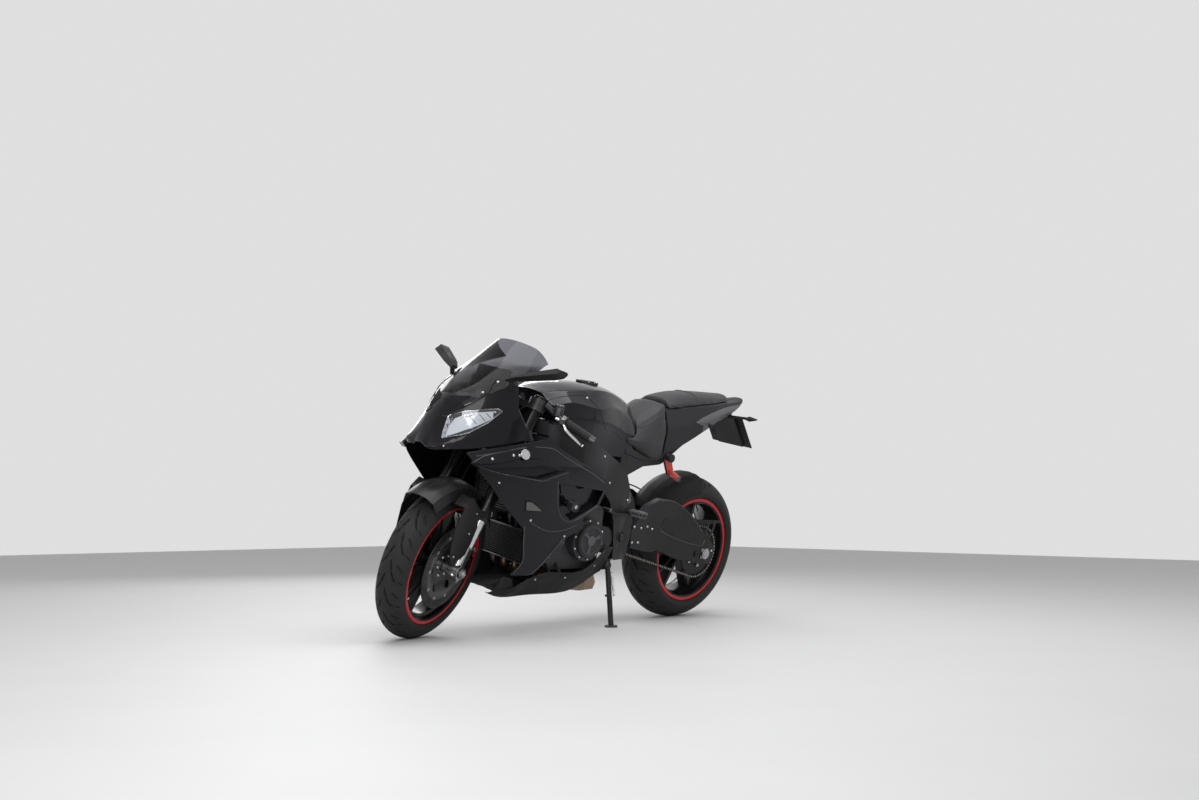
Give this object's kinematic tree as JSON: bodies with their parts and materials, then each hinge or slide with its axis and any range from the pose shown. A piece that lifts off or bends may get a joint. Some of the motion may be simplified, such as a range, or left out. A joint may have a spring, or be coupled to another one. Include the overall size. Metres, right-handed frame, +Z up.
{
  "type": "sport motorcycle",
  "caption": "Fully faired sport motorcycle leaning on its side stand, with turning wheels, steering, side stand and fuel cap.",
  "frame": {"origin": "on the ground at the centre of the machine's bounding box", "axes": "+X to the front of the machine, +Y to the rider's left, +Z up"},
  "size_m": [2.0276, 0.7476, 1.1254],
  "materials": {
    "frame_black": "satin black paint",
    "gloss_black": "gloss black lacquer",
    "moulded_black": "textured moulding",
    "seat_cover": "grained seat cover",
    "tyre_rubber": "road rubber",
    "grip_rubber": "ribbed rubber",
    "rim_black": "black cast alloy",
    "steel": "ground steel",
    "alloy_dark": "dark anodised",
    "fork_black": "black anodised",
    "fork_silver": "bright alloy",
    "red_metal": "red enamel",
    "cast_engine": "dark cast alloy",
    "radiator_black": "matt black core",
    "smoked_screen": "smoked clear plastic",
    "clear_lens": "clear lens",
    "lamp_inner": "lamp bucket",
    "red_lens": "red lens",
    "exhaust_steel": "heat-tinted steel",
    "stand_metal": "satin black paint"
  },
  "bodies": {
    "chassis": {"chain": "steel", "main_frame": "frame_black", "engine_block": "cast_engine", "engine_covers": "cast_engine", "front_sprocket": "steel", "radiators": "radiator_black", "swingarm": "frame_black", "shock_absorber": "alloy_dark", "shock_spring": "red_metal", "rear_axle": "steel", "rear_caliper": "red_metal", "hugger": "moulded_black", "side_fairing_left": "gloss_black", "side_fairing_right": "gloss_black", "side_fins": "gloss_black", "belly_pan": "moulded_black", "nose_fairing": "gloss_black", "headlamps": "clear_lens", "windscreen": "smoked_screen", "headlamp_units": "lamp_inner", "instrument_panel": "moulded_black", "nose_stay": "frame_black", "mirrors": "moulded_black", "fuel_tank": "gloss_black", "tank_cover": "gloss_black", "tail_fairing": "gloss_black", "tail_lamp": "red_lens", "rider_seat": "seat_cover", "pillion_seat": "seat_cover", "subframe": "frame_black", "plate_holder": "moulded_black", "footrests": "alloy_dark", "exhaust": "exhaust_steel"},
    "steering": {"fork_clamps": "alloy_dark", "fork_tubes": "fork_black", "fork_sliders": "fork_silver", "front_axle": "steel", "front_mudguard": "gloss_black", "handlebars": "alloy_dark", "grips": "grip_rubber", "hand_levers": "alloy_dark", "front_calipers": "red_metal"},
    "front_wheel": {"front_rim": "rim_black", "front_tyre": "tyre_rubber", "front_discs": "steel"},
    "rear_wheel": {"rear_rim": "rim_black", "rear_tyre": "tyre_rubber", "rear_disc": "steel", "rear_sprocket": "steel"},
    "side_stand": {"side_stand": "stand_metal"},
    "fuel_cap": {"fuel_cap": "alloy_dark"}
  },
  "joints": [
    {"name": "steering_hinge", "type": "hinge", "parent": "chassis", "child": "steering", "pos_m": [0.46617, -0.01709, 0.7949], "axis": [-0.4027, 0.1962, 0.8941], "range_deg": [-42, 0]},
    {"name": "front_wheel_spin", "type": "hinge", "parent": "steering", "child": "front_wheel", "pos_m": [0.72706, -0.11707, 0.28562], "axis": [-0.3289, 0.8805, -0.3413], "continuous": true},
    {"name": "rear_wheel_spin", "type": "hinge", "parent": "chassis", "child": "rear_wheel", "pos_m": [-0.69388, -0.12379, 0.31491], "axis": [-0.001, 0.9767, -0.2147], "continuous": true},
    {"name": "side_stand_hinge", "type": "hinge", "parent": "chassis", "child": "side_stand", "pos_m": [-0.08618, 0.00565, 0.24888], "axis": [0.0504, 0.9939, 0.0985], "range_deg": [0, 88]},
    {"name": "fuel_cap_hinge", "type": "hinge", "parent": "chassis", "child": "fuel_cap", "pos_m": [0.10019, 0.02524, 0.98913], "axis": [-0.001, 0.9767, -0.2147], "range_deg": [0, 95]}
  ]
}
